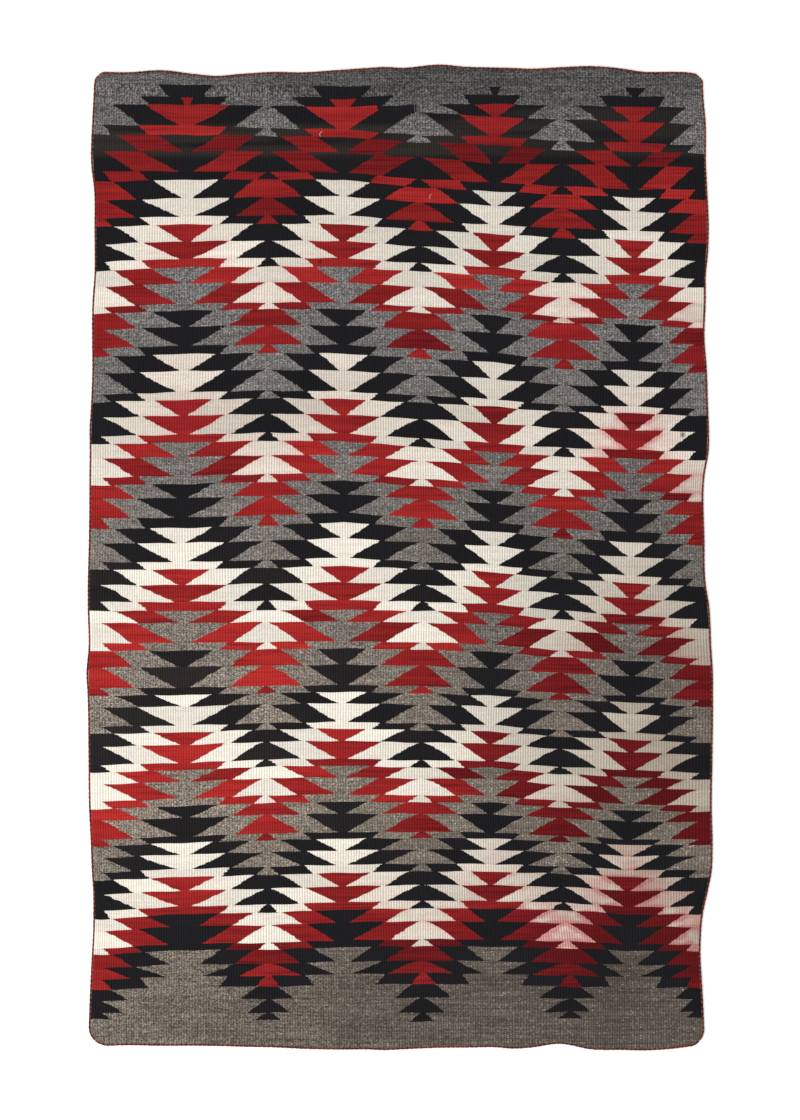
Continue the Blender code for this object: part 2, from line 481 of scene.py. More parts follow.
class Graph:
    """A node tree, with short ways to add nodes and join them."""

    def __init__(self, tree):
        self.tree = tree

    def add(self, kind, **settings):
        """Add a node and set its properties."""
        node = self.tree.nodes.new(kind)
        for name, value in settings.items():
            setattr(node, name, value)
        return node

    def feed(self, socket, value):
        """Give a socket a constant or join it to another node's output."""
        if isinstance(value, bpy.types.NodeSocket):
            self.tree.links.new(value, socket)
        else:
            socket.default_value = value

    def math(self, operation, *values, clamp=False):
        """Add a maths node and return its output."""
        node = self.add("ShaderNodeMath", operation=operation, use_clamp=clamp)
        for socket, value in zip(node.inputs, values):
            self.feed(socket, value)
        return node.outputs[0]

    def mix(self, share, low, high, blend="MIX"):
        """Add a colour mix and return its colour."""
        node = self.add("ShaderNodeMix", data_type="RGBA", blend_type=blend, clamp_factor=True)
        self.feed(node.inputs["Factor"], share)
        self.feed(node.inputs["A"], low)
        self.feed(node.inputs["B"], high)
        return node.outputs["Result"]

    def mix_number(self, share, low, high):
        """Add a mix of two numbers and return its result."""
        node = self.add("ShaderNodeMix", data_type="FLOAT", clamp_factor=True)
        for socket, value in zip(node.inputs, (share, None, low, high)):
            if value is not None:
                self.feed(socket, value)
        return node.outputs[0]

    def pair(self, x, y, z=0.0):
        """Join numbers into a vector."""
        node = self.add("ShaderNodeCombineXYZ")
        for socket, value in zip(node.inputs, (x, y, z)):
            self.feed(socket, value)
        return node.outputs[0]

    def split(self, vector):
        """Split a vector into its numbers."""
        node = self.add("ShaderNodeSeparateXYZ")
        self.feed(node.inputs[0], vector)
        return node.outputs

    def chance(self, x, y):
        """Give an even random number for each pair of numbers."""
        node = self.add("ShaderNodeTexWhiteNoise", noise_dimensions="2D")
        self.feed(node.inputs["Vector"], self.pair(x, y))
        return node.outputs["Value"]

    def noise(self, x, y, detail=2.0):
        """Give soft noise, about 0.5 on average, over two coordinates that are already scaled."""
        node = self.add("ShaderNodeTexNoise", noise_dimensions="2D")
        self.feed(node.inputs["Vector"], self.pair(x, y))
        node.inputs["Scale"].default_value = 1.0
        node.inputs["Detail"].default_value = detail
        return node.outputs[0]

    def smooth(self, value, low, high):
        """Give 0 below low, 1 above high and a smooth step between."""
        node = self.add("ShaderNodeMapRange", interpolation_type="SMOOTHSTEP")
        self.feed(node.inputs["Value"], value)
        node.inputs["From Min"].default_value = low
        node.inputs["From Max"].default_value = high
        return node.outputs[0]

    def steps(self, value, stops):
        """Look a value up in a table of (place, colour) steps."""
        node = self.add("ShaderNodeValToRGB")
        ramp = node.color_ramp
        ramp.interpolation = "CONSTANT"
        while len(ramp.elements) > 1:
            ramp.elements.remove(ramp.elements[-1])
        ramp.elements[0].position, ramp.elements[0].color = stops[0]
        for place, colour in stops[1:]:
            ramp.elements.new(place).color = colour
        self.feed(node.inputs[0], value)
        return node

    def scale(self, vector, factor):
        """Multiply a colour or a vector by a number."""
        node = self.add("ShaderNodeVectorMath", operation="SCALE")
        self.feed(node.inputs[0], vector)
        self.feed(node.inputs["Scale"], factor)
        return node.outputs[0]

    def bump(self, height, strength, distance):
        """Turn a height into a shading normal."""
        node = self.add("ShaderNodeBump")
        node.inputs["Strength"].default_value = strength
        node.inputs["Distance"].default_value = distance
        self.feed(node.inputs["Height"], height)
        return node.outputs[0]

    def map(self, name):
        """Read a named map of the mesh and split it."""
        node = self.add("ShaderNodeUVMap", uv_map=name)
        return self.split(node.outputs[0])


def start_material(name):
    """Start a dull woollen material, and return it with its graph and its shader."""
    material = bpy.data.materials.new(name)
    material.use_nodes = True
    shader = material.node_tree.nodes["Principled BSDF"]
    shader.inputs["Specular IOR Level"].default_value = 0.1
    shader.inputs["Sheen Weight"].default_value = 0.04
    return material, Graph(material.node_tree), shader


def effect_group(name, inputs, outputs):
    """Start a shader node group with named sockets, and return its graph and its two ends."""
    tree = bpy.data.node_groups.new(name, "ShaderNodeTree")
    for socket, kind, default in inputs:
        item = tree.interface.new_socket(socket, in_out="INPUT", socket_type=kind)
        item.default_value = default
    for socket, kind in outputs:
        tree.interface.new_socket(socket, in_out="OUTPUT", socket_type=kind)
    graph = Graph(tree)
    return graph, graph.add("NodeGroupInput").outputs, graph.add("NodeGroupOutput").inputs


def use_group(graph, tree, **values):
    """Place a node group and feed its inputs, named with underscores for spaces."""
    node = graph.add("ShaderNodeGroup", node_tree=tree)
    for name, value in values.items():
        graph.feed(node.inputs[name.replace("_", " ")], value)
    return node.outputs


def yarn_stops():
    """List the colour steps that turn a band's number into its yarn's mask."""
    yarns = ["grey"] * PLAIN_STEPS + [band[0] for band in BANDS] + ["grey"]
    stops = []
    for i, yarn in enumerate(yarns):
        if i == 0 or yarn != yarns[i - 1]:
            stops.append((i / YARN_STEPS, YARN_MASKS[yarn]))
    return stops


def row_slants(graph, row, band):
    """Look up a row's inner and outer slants: each one's place at the row's top and foot, and its curve."""
    phase = graph.math("SUBTRACT", row, graph.math("MULTIPLY", band, 3.0))
    kind = graph.math("DIVIDE", graph.math("ADD", phase, 0.5), 3.0)
    shapes = graph.steps(kind, [(i / 3, shape) for i, shape in enumerate(ROW_SHAPES)])
    colour = graph.add("ShaderNodeSeparateColor")
    graph.feed(colour.inputs[0], shapes.outputs["Color"])
    inner_top, inner_foot, outer_top = colour.outputs
    outer_foot = shapes.outputs["Alpha"]
    return (inner_top, inner_foot, INNER_CURVE), (outer_top, outer_foot, OUTER_CURVE)


def off_low_column(graph, given, row):
    """Give how far a place lies from its low column, as a share of the gap, less even than a ruler's."""
    gap = graph.math("FLOOR", given["Column"])
    shift = graph.math("SUBTRACT", graph.chance(row, gap), 0.5)
    even = graph.math("PINGPONG", given["Column"], 1.0)
    between = graph.math("MULTIPLY", even, graph.math("SUBTRACT", 1.0, even))
    shift = graph.math("MULTIPLY", graph.math("MULTIPLY", shift, between), 4.0)
    away = graph.math("MULTIPLY_ADD", shift, given["Unevenness"], even)
    along_ribs = graph.math("MULTIPLY", given["Rib"], 0.4)
    along_rows = graph.math("MULTIPLY", given["Row"], 4.0)
    ragged = graph.math("SUBTRACT", graph.noise(along_ribs, along_rows, detail=1.0), 0.5)
    return graph.math("MULTIPLY_ADD", ragged, given["Raggedness"], away)


def with_points(graph, column, row, stepped, band):
    """Give the small points in the second black row the next band's yarn."""
    in_row = graph.math("COMPARE", row, float(SECOND_ROW), 0.1)
    in_row = graph.math("MULTIPLY", in_row, graph.math("GREATER_THAN", stepped, POINT_TOP))
    narrowing = graph.math("MULTIPLY_ADD", stepped, -POINT_NARROWING, 1.0)
    for low_column, half_width in POINTS:
        off_centre = graph.math("ABSOLUTE", graph.math("SUBTRACT", column, float(low_column)))
        in_point = graph.math("LESS_THAN", off_centre, graph.math("MULTIPLY", narrowing, half_width))
        band = graph.math("MULTIPLY_ADD", in_row, in_point, band)
    return band


def motif_number(graph, column, crossed):
    """Number the pattern's steps: those round a low column, those in a gap, and those round a high column."""
    half = graph.math("MULTIPLY", column, 0.5)
    low = graph.math("MULTIPLY", graph.math("FLOOR", graph.math("ADD", half, 0.5)), 2.0)
    high = graph.math("MULTIPLY_ADD", graph.math("FLOOR", half), 2.0, 1.0)
    between = graph.math("ADD", graph.math("FLOOR", column), 0.5)
    number = graph.mix_number(crossed[0], low, between)
    return graph.mix_number(crossed[1], number, high)


def next_yarn_nearness(graph, crossed, past, stepped):
    """Give how near a place lies to the slant inside it, or to its row's foot, where run dye gathers."""
    beside = graph.mix_number(crossed[1], past[0], past[1])
    beside = graph.math("MULTIPLY", graph.smooth(beside, 0.16, 0.0), crossed[0])
    return graph.math("MAXIMUM", beside, graph.smooth(stepped, 0.72, 1.0))


def serrate_group():
    """Make the group that works out which yarn shows at a place of the pattern."""
    graph, given, result = effect_group(
        "Serrate zigzag",
        (
            ("Column", "NodeSocketFloat", 0.0),
            ("Row", "NodeSocketFloat", 0.0),
            ("Rib", "NodeSocketFloat", 0.0),
            ("Floats", "NodeSocketFloat", 10.0),
            ("Unevenness", "NodeSocketFloat", 0.07),
            ("Raggedness", "NodeSocketFloat", 0.06),
        ),
        (
            ("Red", "NodeSocketFloat"),
            ("Ivory", "NodeSocketFloat"),
            ("Black", "NodeSocketFloat"),
            ("Along Float", "NodeSocketFloat"),
            ("Float Number", "NodeSocketFloat"),
            ("Row Number", "NodeSocketFloat"),
            ("Motif", "NodeSocketFloat"),
            ("Nearness", "NodeSocketFloat"),
        ),
    )
    row = graph.math("FLOOR", given["Row"])
    share = graph.math("FRACT", given["Row"])
    stagger = graph.math("MULTIPLY", graph.math("MODULO", given["Rib"], 2.0), 0.5)
    place = graph.math("MULTIPLY_ADD", share, given["Floats"], stagger)
    number = graph.math("FLOOR", place)
    middle = graph.math("SUBTRACT", graph.math("ADD", number, 0.5), stagger)
    stepped = graph.math("DIVIDE", middle, given["Floats"], clamp=True)
    band = graph.math("FLOOR", graph.math("DIVIDE", graph.math("ADD", row, 0.01), 3.0))

    away = off_low_column(graph, given, row)
    past = []
    crossed = []
    for top, foot, curve in row_slants(graph, row, band):
        fall = graph.math("MULTIPLY", graph.math("SUBTRACT", foot, top), graph.math("POWER", stepped, curve))
        past.append(graph.math("SUBTRACT", away, graph.math("ADD", top, fall)))
        crossed.append(graph.math("GREATER_THAN", past[-1], 0.0))
    shown = graph.math("SUBTRACT", band, graph.math("ADD", *crossed))
    shown = with_points(graph, given["Column"], row, stepped, shown)
    lookup = graph.math("DIVIDE", graph.math("ADD", shown, PLAIN_STEPS - 0.5), float(YARN_STEPS))
    masks = graph.add("ShaderNodeSeparateColor")
    graph.feed(masks.inputs[0], graph.steps(lookup, yarn_stops()).outputs["Color"])

    for name, socket in zip(("Red", "Ivory", "Black"), masks.outputs):
        graph.feed(result[name], socket)
    graph.feed(result["Along Float"], graph.math("FRACT", place))
    graph.feed(result["Float Number"], number)
    graph.feed(result["Row Number"], row)
    graph.feed(result["Motif"], motif_number(graph, given["Column"], crossed))
    graph.feed(result["Nearness"], next_yarn_nearness(graph, crossed, past, stepped))
    return graph.tree


def wool_group():
    """Make the group that gives plied wool its fine fibres: a lighter or darker share and a height."""
    graph, given, result = effect_group(
        "Wool fibres",
        (("Place", "NodeSocketVector", (0.0, 0.0, 0.0)), ("Fibre Scale", "NodeSocketFloat", 1500.0)),
        (("Tone", "NodeSocketFloat"), ("Height", "NodeSocketFloat")),
    )
    x, y, _ = graph.split(given["Place"])
    fine = graph.noise(
        graph.math("MULTIPLY", x, given["Fibre Scale"]),
        graph.math("MULTIPLY", y, graph.math("MULTIPLY", given["Fibre Scale"], 0.6)),
        detail=3.0,
    )
    soft = graph.noise(graph.math("MULTIPLY", x, 90.0), graph.math("MULTIPLY", y, 120.0), detail=2.0)
    tone = graph.math("MULTIPLY_ADD", fine, 0.6, graph.math("MULTIPLY", soft, 0.4))
    graph.feed(result["Tone"], tone)
    graph.feed(result["Height"], fine)
    return graph.tree


class ClothMarks:
    """What the cloth's shader reads at each place: where it is, which yarn shows there, and its streaks."""

    def __init__(self, graph, weave):
        column, row, _ = graph.map("Chart")
        self.rib, floats, _ = graph.map("Yarn")
        self.across_rib, _, _ = graph.map("Bead")
        place = graph.add("ShaderNodeTexCoord").outputs["Object"]
        self.x, self.y, _ = graph.split(place)
        self.height_share = graph.math("DIVIDE", self.y, FIELD_LENGTH)
        self.pattern = use_group(
            graph, bpy.data.node_groups["Serrate zigzag"],
            Column=column, Row=row, Rib=self.rib, Floats=floats,
            Unevenness=weave.unevenness, Raggedness=weave.raggedness,
        )
        self.fibres = use_group(graph, bpy.data.node_groups["Wool fibres"], Place=place)
        self.each_motif = graph.chance(self.pattern["Row Number"], self.pattern["Motif"])
        self.streak_fine = self.streaks(graph, 9.0, 330.0, 2.0)
        self.streak_broad = self.streaks(graph, 4.0, 60.0, 1.0)
        self.off_crown = graph.math("ABSOLUTE", graph.math("MULTIPLY_ADD", self.across_rib, 2.0, -1.0))

    def streaks(self, graph, across_scale, up_scale, detail):
        """Give soft noise that is drawn out along the weft."""
        across = graph.math("MULTIPLY", self.x, across_scale)
        return graph.noise(across, graph.math("MULTIPLY", self.y, up_scale), detail=detail)

    def blots(self, graph, rows):
        """Give soft blots at the places of a table, the strongest where they overlap."""
        strongest = 0.0
        for across, up, half_width, half_height, strength in rows:
            centre_x = across * MM - FIELD_WIDTH / 2 + FIELD_OFFSET[0]
            centre_y = up * MM - FIELD_LENGTH / 2 + FIELD_OFFSET[1]
            dx = graph.math("DIVIDE", graph.math("SUBTRACT", self.x, float(centre_x)), half_width * MM)
            dy = graph.math("DIVIDE", graph.math("SUBTRACT", self.y, float(centre_y)), half_height * MM)
            reach = graph.math("SQRT", graph.math("MULTIPLY_ADD", dx, dx, graph.math("MULTIPLY", dy, dy)))
            spot = graph.math("MULTIPLY", graph.smooth(reach, 1.25, 0.1), strength)
            strongest = graph.math("MAXIMUM", spot, strongest)
        return strongest


def red_yarn(graph, marks, colours):
    """Mix the red yarn: stronger and deeper dye lots by row and by step, dark streaks, and patches of painted
    light and painted shade.
    """
    each_row = graph.chance(marks.pattern["Row Number"], 0.5)
    lot = graph.math("MULTIPLY_ADD", each_row, 0.6, graph.math("MULTIPLY", marks.each_motif, 0.4))
    strong_dye_and_painted_light = graph.math("MULTIPLY", graph.smooth(marks.streak_broad, 0.42, 0.72), 0.40)
    strong_dye_and_painted_light = graph.math("MULTIPLY_ADD", graph.smooth(lot, 0.5, 1.0), 0.45, strong_dye_and_painted_light)
    # Partly painted light: the red is brightened where more light falls, the strongest at the lower left
    strong_dye_and_painted_light = graph.math("ADD", strong_dye_and_painted_light, marks.blots(graph, STRONG_REDS_AND_PAINTED_LIGHT))
    red = graph.mix(strong_dye_and_painted_light, tuple(colours.red), tuple(colours.red_bright))
    deep_dye_and_painted_shade = graph.math("MULTIPLY", graph.smooth(marks.streak_fine, 0.44, 0.80), 0.60)
    deep_dye_and_painted_shade = graph.math("MULTIPLY_ADD", graph.smooth(lot, 0.5, 0.0), 0.50, deep_dye_and_painted_shade)
    # Partly painted shade: the red is darkened where less light falls, the strongest at the lower right
    deep_dye_and_painted_shade = graph.math("ADD", deep_dye_and_painted_shade, marks.blots(graph, DEEP_REDS_AND_PAINTED_SHADE))
    return graph.mix(deep_dye_and_painted_shade, red, tuple(colours.red_dark))


def black_yarn(graph, marks, colours):
    """Mix the black yarn, browner in a stretch below the top end, and browner and lighter here and there low
    on the left, partly faded and partly painted light.
    """
    stretch_foot = graph.smooth(marks.height_share, 0.408, 0.416)
    lowered = graph.math("MULTIPLY_ADD", graph.smooth(marks.x, 0.0, 0.25), -0.018, marks.height_share)
    stretch = graph.math("MULTIPLY", stretch_foot, graph.smooth(lowered, 0.448, 0.440))
    stretch = graph.math("MULTIPLY", stretch, graph.smooth(marks.streak_broad, 0.20, 0.55))
    on_right = graph.smooth(marks.x, -0.10, 0.30)
    stretch = graph.math("MULTIPLY", stretch, graph.math("MULTIPLY_ADD", on_right, -0.45, 1.0))
    # Partly painted light: the black is lightened towards brown low on the left, where the light is strongest
    faded_and_painted_light = graph.math("MULTIPLY_ADD", graph.smooth(marks.each_motif, 0.35, 0.95), 0.6, 0.4)
    faded_and_painted_light = graph.math("MULTIPLY", faded_and_painted_light, graph.smooth(marks.x, 0.25, -0.45))
    faded_and_painted_light = graph.math("MULTIPLY", faded_and_painted_light, graph.smooth(marks.y, 0.15, -0.15))
    faded_and_painted_light = graph.math("MULTIPLY", faded_and_painted_light, graph.smooth(marks.y, -0.55, -0.40))
    faded_and_painted_light = graph.math("MULTIPLY_ADD", faded_and_painted_light, 0.6, stretch, clamp=True)
    return graph.mix(faded_and_painted_light, tuple(colours.black), tuple(colours.brown_black))


def grey_yarn(graph, marks, colours):
    """Mix the carded grey yarn: cool at the top, warm at the bottom, speckled, streaked and flecked, with
    patches of painted shade and painted light.
    """
    warm = graph.smooth(marks.height_share, 0.28, -0.25)
    light = graph.mix(warm, tuple(colours.grey_cool), tuple(colours.grey_warm))
    half_rib = graph.math("ADD", marks.rib, marks.across_rib)
    half_rib = graph.math("FLOOR", graph.math("MULTIPLY", half_rib, 2.0))
    one_float = graph.math("MULTIPLY_ADD", marks.pattern["Row Number"], 70.0, marks.pattern["Float Number"])
    speckle = graph.chance(half_rib, one_float)
    smoothed = marks.blots(graph, SMOOTH_GREYS)
    contrast = graph.math("SUBTRACT", 1.0, smoothed)
    fleck = graph.math("MULTIPLY", graph.smooth(speckle, 0.965, 0.985), smoothed)
    middle_speckle = 0.38
    speckle = graph.math("SUBTRACT", graph.math("POWER", speckle, 1.6), middle_speckle)
    speckle = graph.math("MULTIPLY_ADD", speckle, contrast, middle_speckle)
    grey = graph.mix(speckle, tuple(colours.grey_dark), light)
    grey = graph.mix(fleck, grey, tuple(colours.ivory))
    tone = graph.math("MULTIPLY_ADD", graph.smooth(marks.streak_fine, 0.30, 0.70), 0.24, 0.86)
    # Partly painted shade: the grey is darkened where less light falls
    tone = graph.math("MULTIPLY_ADD", marks.blots(graph, DARK_GREYS_AND_PAINTED_SHADE), -0.40, tone)
    # Partly painted light: the grey is lightened where more light falls, the strongest at the lower left
    tone = graph.math("MULTIPLY_ADD", marks.blots(graph, LIGHT_GREYS_AND_PAINTED_LIGHT), 0.32, tone)
    return graph.scale(grey, tone)


def ivory_yarn(graph, marks, colours):
    """Mix the ivory yarn, pink where red dye has run into it, and greyer in patches of painted shade."""
    patchy = graph.smooth(marks.streaks(graph, 30.0, 60.0, 3.0), 0.20, 0.62)
    run = graph.math("MULTIPLY", marks.blots(graph, DYE_RUNS), patchy)
    near = graph.math("MULTIPLY_ADD", marks.pattern["Nearness"], 0.75, 0.40)
    run = graph.math("MULTIPLY", run, near, clamp=True)
    ivory = graph.mix(run, tuple(colours.ivory), tuple(colours.pink))
    # Painted shade: the ivory is darkened towards grey where less light falls
    return graph.mix(marks.blots(graph, PAINTED_IVORY_SHADE), ivory, tuple(colours.painted_ivory_shade_tint), blend="MULTIPLY")


def yarn_tone(graph, marks, weave):
    """Give the lightness that differs from step to step, float to float and fibre to fibre, and from crown to
    groove, where shade is painted darker into the grooves between the ribs.
    """
    rib_middle = graph.math("ADD", marks.rib, 0.5)
    one_float = graph.math("MULTIPLY_ADD", marks.pattern["Row Number"], 40.0, marks.pattern["Float Number"])
    each_float = graph.chance(rib_middle, one_float)
    # Painted shade: the grooves between the ribs are darkened in the colour, as if less light reached them
    groove = graph.smooth(marks.off_crown, 0.35, 1.0)
    contrast = weave.motif_contrast
    tone = graph.math("MULTIPLY_ADD", marks.each_motif, contrast, 1.0 - contrast / 2)
    for value, spread, least in (
        (each_float, 0.16, 0.92),
        (marks.fibres["Tone"], 0.30, 0.85),
        (marks.streak_fine, 0.24, 0.88),
        (groove, -weave.painted_groove_shade, 1.0),
        (marks.blots(graph, DARK_SPOTS), -1.0, 1.0),
    ):
        tone = graph.math("MULTIPLY", tone, graph.math("MULTIPLY_ADD", value, spread, least))
    return tone


def weave_relief(graph, marks):
    """Give the height of the yarn: a bead for each float, round ribs, and the wool's own fibres."""
    off_middle = graph.math("MULTIPLY_ADD", marks.pattern["Along Float"], 2.0, -1.0)
    bead = graph.math("SUBTRACT", 1.0, graph.math("MULTIPLY", off_middle, off_middle))
    round_rib = graph.math("SUBTRACT", 1.0, graph.math("MULTIPLY", marks.off_crown, marks.off_crown))
    relief = graph.math("MULTIPLY_ADD", bead, 0.6, graph.math("MULTIPLY", round_rib, 0.6))
    return graph.math("MULTIPLY_ADD", marks.fibres["Height"], 0.5, relief)


def woven_material(colours, weave):
    """Make the cloth's material: dyed yarns in their pattern, their tones, and the weave's fine relief."""
    material, graph, shader = start_material("woven_wool")
    marks = ClothMarks(graph, weave)
    colour = grey_yarn(graph, marks, colours)
    colour = graph.mix(marks.pattern["Red"], colour, red_yarn(graph, marks, colours))
    colour = graph.mix(marks.pattern["Ivory"], colour, ivory_yarn(graph, marks, colours))
    colour = graph.mix(marks.pattern["Black"], colour, black_yarn(graph, marks, colours))
    graph.feed(shader.inputs["Base Color"], graph.scale(colour, yarn_tone(graph, marks, weave)))
    graph.feed(shader.inputs["Normal"], graph.bump(weave_relief(graph, marks), 0.8, 0.5 * MM))
    graph.feed(shader.inputs["Roughness"], graph.math("MULTIPLY_ADD", marks.fibres["Tone"], 0.12, 0.84))
    shader.inputs["Sheen Roughness"].default_value = 0.5
    return material


def ply_material(name, colour, shade):
    """Make the material of one ply of the selvage cord, which is shaded darker in patches."""
    material, graph, shader = start_material(name)
    place = graph.add("ShaderNodeTexCoord").outputs["Object"]
    x, y, _ = graph.split(place)
    fibres = use_group(graph, bpy.data.node_groups["Wool fibres"], Place=place, Fibre_Scale=2600.0)
    patch = graph.noise(graph.math("MULTIPLY", x, 28.0), graph.math("MULTIPLY", y, 28.0), detail=2.0)
    worn = graph.math("MULTIPLY_ADD", fibres["Tone"], 0.6, graph.math("MULTIPLY", patch, 0.7))
    graph.feed(shader.inputs["Base Color"], graph.mix(graph.smooth(worn, 0.45, 0.85), colour, shade))
    graph.feed(shader.inputs["Normal"], graph.bump(fibres["Height"], 0.7, 0.25 * MM))
    graph.feed(shader.inputs["Roughness"], graph.math("MULTIPLY_ADD", fibres["Tone"], 0.1, 0.82))
    return material


def cloth_point(across, up):
    """Give X and Y for points of the cloth, given from its lower left corner."""
    top_share = np.clip(1.0 - (FIELD_LENGTH - up) / TOP_MARGIN, 0.0, 1.0)
    bottom_share = np.clip(1.0 - up / BOTTOM_MARGIN, 0.0, 1.0)
    x = with_bent_sides(across, up)
    y = up - FIELD_LENGTH / 2
    y = y + top_share * end_bulge("top", across) - bottom_share * end_bulge("bottom", across)
    return x + FIELD_OFFSET[0], y + FIELD_OFFSET[1]


def weft_strips():
    """List the lines across the cloth from the top down, and each strip's rows at its top and foot."""
    ups = [FIELD_LENGTH - depth * MM for depth in TOP_LINES]
    marks = np.linspace(0.0, 2.0, len(TOP_LINES) + 1)
    rows = list(zip(marks, marks[1:]))
    up = FIELD_LENGTH - TOP_MARGIN
    for band, (_, *heights) in enumerate(BANDS, start=1):
        for phase, height in enumerate(heights):
            if height == 0:
                continue
            ups.append(up)
            rows.append((3 * band + phase, 3 * band + phase + 1.0))
            up -= height * MM
    marks = np.linspace(LAST_ROW, LAST_ROW + 2.0, len(BOTTOM_LINES) + 1)
    ups += [BOTTOM_MARGIN] + [height * MM for height in BOTTOM_LINES]
    rows += list(zip(marks, marks[1:]))
    return np.array(ups), np.array(rows)


def column_places(ribs):
    """Give each rib's place among the pattern columns: 1 at the first one, 2 at the next, and so on."""
    middles = np.array([column[0] + 0.5 for column in COLUMNS])
    places = np.interp(ribs, middles, np.arange(1.0, len(COLUMNS) + 1))
    gap = np.clip(np.floor(places), 1, len(COLUMNS) - 1).astype(int) - 1
    share = places - 1 - gap
    towards_high = np.where(gap % 2 == 0, 1.0, -1.0)
    return places + towards_high * np.array(SLANT_SPREADS)[gap] * 4.0 * share * (1.0 - share)


def strip_of(chart, rows, row):
    """Find the strip of the cloth that holds a row of the pattern."""
    return chart[int(np.flatnonzero(rows[:, 0] == row)[0])]


def within_step(columns, centres):
    """Keep places close enough to their own column."""
    return np.clip(columns, centres - MOST_OFF, centres + MOST_OFF)


def first_rows(chart, rows, low_columns):
    """Give the first two black rows their own shapes, round each low column."""
    table = np.array(FIRST_ROWS)
    top, foot, first_width, second_width = (
        np.interp(low_columns, table[:, 0], table[:, column])[:, None] for column in range(1, 5)
    )
    centres = low_columns[:, None]
    for row, width in ((FIRST_ROW, first_width), (SECOND_ROW, second_width)):
        strip = strip_of(chart, rows, row)
        strip[..., 0] = within_step(centres + (strip[..., 0] - centres) / width, centres)
    first = strip_of(chart, rows, FIRST_ROW)
    first[:, (0, 3), 1] = FIRST_ROW + top
    first[:, (1, 2), 1] = FIRST_ROW + foot


def split_and_narrow_rows(chart, rows):
    """Leave out the first red row at the left, and narrow the steps of another row there."""
    split = strip_of(chart, rows, SPLIT_ROW)
    split[..., 1] = np.where(split[..., 0] < SPLIT_FROM, SPLIT_ROW + 1.01, split[..., 1])
    strip = strip_of(chart, rows, NARROW_ROW)
    centre = FIRST_LOW_COLUMN
    narrowed = np.maximum(centre + (strip[..., 0] - centre) / NARROW_WIDTH, centre - MOST_OFF)
    strip[..., 0] = np.where(strip[..., 0] < centre, narrowed, strip[..., 0])


def wide_rows(chart, rows, low_columns):
    """Widen the middles of a few rows round each low column."""
    table = np.array(WIDENINGS)
    shift = np.interp(low_columns, table[:, 0], table[:, 1])[:, None]
    centres = low_columns[:, None]
    for row in WIDE_ROWS:
        strip = strip_of(chart, rows, row)
        off_centre = strip[..., 0] - centres
        away = np.clip(np.abs(off_centre) - shift * (1.0 - np.abs(off_centre)), 0.0, MOST_OFF)
        strip[..., 0] = centres + np.sign(off_centre) * away


def last_rows(chart, rows, high_columns):
    """Narrow the steps of the last rows round each high column."""
    centres = high_columns[:, None]
    for row, width in LAST_ROWS:
        strip = strip_of(chart, rows, row)
        strip[..., 0] = within_step(centres + (strip[..., 0] - centres) / width, centres)


def across_at(ribs, up):
    """Give how far from the left edge the ribs lie at this height, since each column leans a little."""
    knots = [0.0] + [column[0] + 0.5 for column in COLUMNS] + [float(RIB_COUNT)]
    ups = np.array(COLUMN_UPS, float)
    leaning = [float(through_places(ups, np.array(column[1:], float), up / MM)) * MM for column in COLUMNS]
    return np.interp(ribs, knots, [0.0] + leaning + [FIELD_WIDTH])


def drift_at(ribs, row):
    """Give how far the weft has sunk at these ribs on a line of the pattern."""
    table = np.array(ROW_DRIFTS, float)
    row = np.clip(row, table[0, 0], table[-1, 0])
    sunk = [np.interp(row, table[:, 0], table[:, column + 1]) for column in range(len(COLUMNS))]
    return np.interp(column_places(ribs), np.arange(1.0, len(COLUMNS) + 1), sunk) * MM


def ease(values):
    """Give a smooth step from 0 to 1."""
    values = np.clip(values, 0.0, 1.0)
    return values * values * (3.0 - 2.0 * values)


def buckle(x, y, height):
    """Give the low, slow swell of a cloth that doesn't lie quite flat."""
    swell = np.sin(7.1 * x + 2.3 * y + 0.4) * np.sin(4.3 * y - 3.1 * x + 1.1)
    swell = swell + 0.6 * np.sin(13.0 * x - 8.0 * y + 2.0) * np.sin(11.0 * y + 0.7)
    return height * (0.5 + swell / 3.2)


def line_waver(across, line):
    """Give the small waves of one line across the cloth, from -1 to 1, which differ from line to line."""
    short_wave, long_wave = 0.011, 0.019
    waves = np.sin(across / short_wave + 1.9 * line) + np.sin(across / long_wave + 2.7 * line * line)
    return waves / 2


def rib_wander(ribs, y):
    """Give the slow sideways waves of the ribs, from -1 to 1."""
    return (np.sin(31.0 * y + 0.09 * ribs) + np.sin(17.0 * y - 0.13 * ribs + 1.7)) / 2


def cloth_grid(rib_profile, edge_height, weave):
    """Lay out one face of the cloth: points along every rib, on every line across."""
    shares = np.array([share for share, _ in rib_profile])
    heights = np.array([height for _, height in rib_profile])
    ribs = np.append((np.arange(RIB_COUNT)[:, None] + shares).ravel(), RIB_COUNT)
    heights = np.append(np.tile(heights, RIB_COUNT), heights[0])
    ups, rows = weft_strips()
    drift_rows = np.floor(np.append(rows[:, 0], LAST_ROW + 2.0))
    inside = np.minimum((FIELD_LENGTH - ups) / TOP_MARGIN, ups / BOTTOM_MARGIN)
    points = np.zeros((len(ups), len(ribs), 3))
    for line, up in enumerate(ups):
        across = across_at(ribs, up)
        from_side = np.minimum(across, FIELD_WIDTH - across)
        thin_row = line + 1 < len(ups) and up - ups[line + 1] < LEAST_ROW
        waver = line_waver(across, line + 1 if thin_row else line)
        sunk = (drift_at(ribs, drift_rows[line]) + weave.waver * waver) * min(1.0, inside[line])
        x, y = cloth_point(across, up - sunk)
        x = x + weave.wander * rib_wander(ribs, y) * ease(from_side / BENT_WIDTH)
        away = ease(from_side / RIB_PITCH) * ease(min(FIELD_LENGTH - up, up) / EDGE_ROLL)
        z = edge_height + (heights - edge_height) * away + buckle(x, y, weave.swell)
        points[line] = np.stack([x, y, z], axis=1)
    return points


